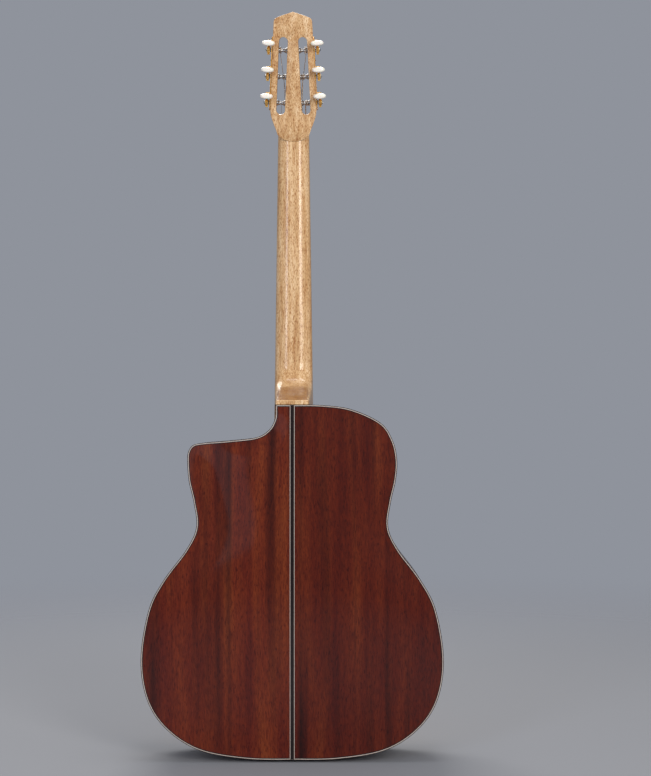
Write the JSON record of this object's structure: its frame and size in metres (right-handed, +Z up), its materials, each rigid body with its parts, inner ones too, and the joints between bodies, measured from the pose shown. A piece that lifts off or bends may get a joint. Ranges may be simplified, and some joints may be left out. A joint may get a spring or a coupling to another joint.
{
  "type": "acoustic guitar",
  "caption": "Cutaway steel-string guitar with oval soundhole, floating bridge, brass tailpiece, slotted head with worm-geared tuners, glossy reddish back and pale neck.",
  "frame": {"origin": "where a hanger's yoke holds the guitar, under the shoulders of the head and in the middle of the neck's thickness, just above the nut", "axes": "+Z up along the neck to the head, +Y toward the back, -Y toward the soundboard and strings, +X toward the treble side with the cutaway"},
  "size_m": [0.401, 0.1296, 1.0057],
  "materials": {
    "spruce_top": "gloss lacquer",
    "sapele": "high-gloss lacquer",
    "lining_wood": "raw",
    "neck_wood": "thin satin lacquer, open pores",
    "ebony": "oiled",
    "rosewood": "oiled",
    "binding": "gloss lacquer",
    "bone": "polished",
    "brass": "worn polish",
    "steel": "turned",
    "wound_bronze": "wound",
    "pearloid": "polished",
    "aluminium_bar": "mill"
  },
  "bodies": {
    "guitar": {"back_binding": "binding", "back_brace_lower": "spruce_top", "back_brace_upper": "spruce_top", "back_brace_waist": "spruce_top", "back_centre_strip": "ebony", "back_half_bass": "sapele", "back_half_treble": "sapele", "back_lining": "lining_wood", "bridge_brace_frame": "spruce_top", "fretboard": "ebony", "head_veneer": "ebony", "moustache_bass": "rosewood", "moustache_treble": "rosewood", "neck": "neck_wood", "neck_block": "lining_wood", "nut": "bone", "plate_bass": "brass", "plate_treble": "brass", "reinforcing_bar": "aluminium_bar", "side_bass": "sapele", "side_treble": "sapele", "soundboard": "spruce_top", "soundhole_brace": "spruce_top", "string_1": "wound_bronze", "string_2": "wound_bronze", "string_3": "wound_bronze", "string_4": "wound_bronze", "string_5": "steel", "string_6": "steel", "tail_block": "lining_wood", "tailpiece": "brass", "tailpiece_insert": "rosewood", "top_binding": "binding", "top_lining": "lining_wood", "upper_brace": "spruce_top"},
    "key_1": {"button_1": "pearloid", "worm_1": "steel"},
    "key_2": {"button_2": "pearloid", "worm_2": "steel"},
    "key_3": {"button_3": "pearloid", "worm_3": "steel"},
    "key_4": {"button_4": "pearloid", "worm_4": "steel"},
    "key_5": {"button_5": "pearloid", "worm_5": "steel"},
    "key_6": {"button_6": "pearloid", "worm_6": "steel"},
    "spool_1": {"gear_1": "brass", "roller_1": "steel"},
    "spool_2": {"gear_2": "brass", "roller_2": "steel"},
    "spool_3": {"gear_3": "brass", "roller_3": "steel"},
    "spool_4": {"gear_4": "brass", "roller_4": "steel"},
    "spool_5": {"gear_5": "brass", "roller_5": "steel"},
    "spool_6": {"gear_6": "brass", "roller_6": "steel"},
    "floating_bridge": {"bridge": "rosewood"}
  },
  "joints": [
    {"name": "key_1_turn", "type": "hinge", "parent": "guitar", "child": "key_1", "pos_m": [-0.03612, 0.01602, 0.04684], "axis": [0, 0.9659, -0.2588], "continuous": true},
    {"name": "spool_1_turn", "type": "hinge", "parent": "guitar", "child": "spool_1", "pos_m": [-0.03655, 0.01369, 0.03816], "axis": [0.9988, -0.0125, -0.0465], "continuous": true},
    {"name": "key_2_turn", "type": "hinge", "parent": "guitar", "child": "key_2", "pos_m": [-0.03443, 0.02507, 0.08061], "axis": [0, 0.9659, -0.2588], "continuous": true},
    {"name": "spool_2_turn", "type": "hinge", "parent": "guitar", "child": "spool_2", "pos_m": [-0.03487, 0.02274, 0.07192], "axis": [0.9988, -0.0125, -0.0465], "continuous": true},
    {"name": "key_3_turn", "type": "hinge", "parent": "guitar", "child": "key_3", "pos_m": [-0.03275, 0.03412, 0.11437], "axis": [0, 0.9659, -0.2588], "continuous": true},
    {"name": "spool_3_turn", "type": "hinge", "parent": "guitar", "child": "spool_3", "pos_m": [-0.03318, 0.03179, 0.10569], "axis": [0.9988, -0.0125, -0.0465], "continuous": true},
    {"name": "key_4_turn", "type": "hinge", "parent": "guitar", "child": "key_4", "pos_m": [0.03275, 0.03412, 0.11437], "axis": [0, 0.9659, -0.2588], "continuous": true},
    {"name": "spool_4_turn", "type": "hinge", "parent": "guitar", "child": "spool_4", "pos_m": [0.03318, 0.03179, 0.10569], "axis": [0.9988, 0.0125, 0.0465], "continuous": true},
    {"name": "key_5_turn", "type": "hinge", "parent": "guitar", "child": "key_5", "pos_m": [0.03443, 0.02507, 0.08061], "axis": [0, 0.9659, -0.2588], "continuous": true},
    {"name": "spool_5_turn", "type": "hinge", "parent": "guitar", "child": "spool_5", "pos_m": [0.03487, 0.02274, 0.07192], "axis": [0.9988, 0.0125, 0.0465], "continuous": true},
    {"name": "key_6_turn", "type": "hinge", "parent": "guitar", "child": "key_6", "pos_m": [0.03612, 0.01602, 0.04684], "axis": [0, 0.9659, -0.2588], "continuous": true},
    {"name": "spool_6_turn", "type": "hinge", "parent": "guitar", "child": "spool_6", "pos_m": [0.03655, 0.01369, 0.03816], "axis": [0.9988, 0.0125, 0.0465], "continuous": true},
    {"name": "bridge_slide", "type": "slide", "parent": "guitar", "child": "floating_bridge", "axis": [0, 0, 1], "range_m": [-0.003, 0.003], "deforming": ["string_1", "string_2", "string_3", "string_4", "string_5", "string_6"]}
  ],
  "couplings": [
    {"joint": "spool_1_turn", "follows": "key_1_turn", "ratio": 0.071429},
    {"joint": "spool_2_turn", "follows": "key_2_turn", "ratio": 0.071429},
    {"joint": "spool_3_turn", "follows": "key_3_turn", "ratio": 0.071429},
    {"joint": "spool_4_turn", "follows": "key_4_turn", "ratio": 0.071429},
    {"joint": "spool_5_turn", "follows": "key_5_turn", "ratio": 0.071429},
    {"joint": "spool_6_turn", "follows": "key_6_turn", "ratio": 0.071429}
  ]
}
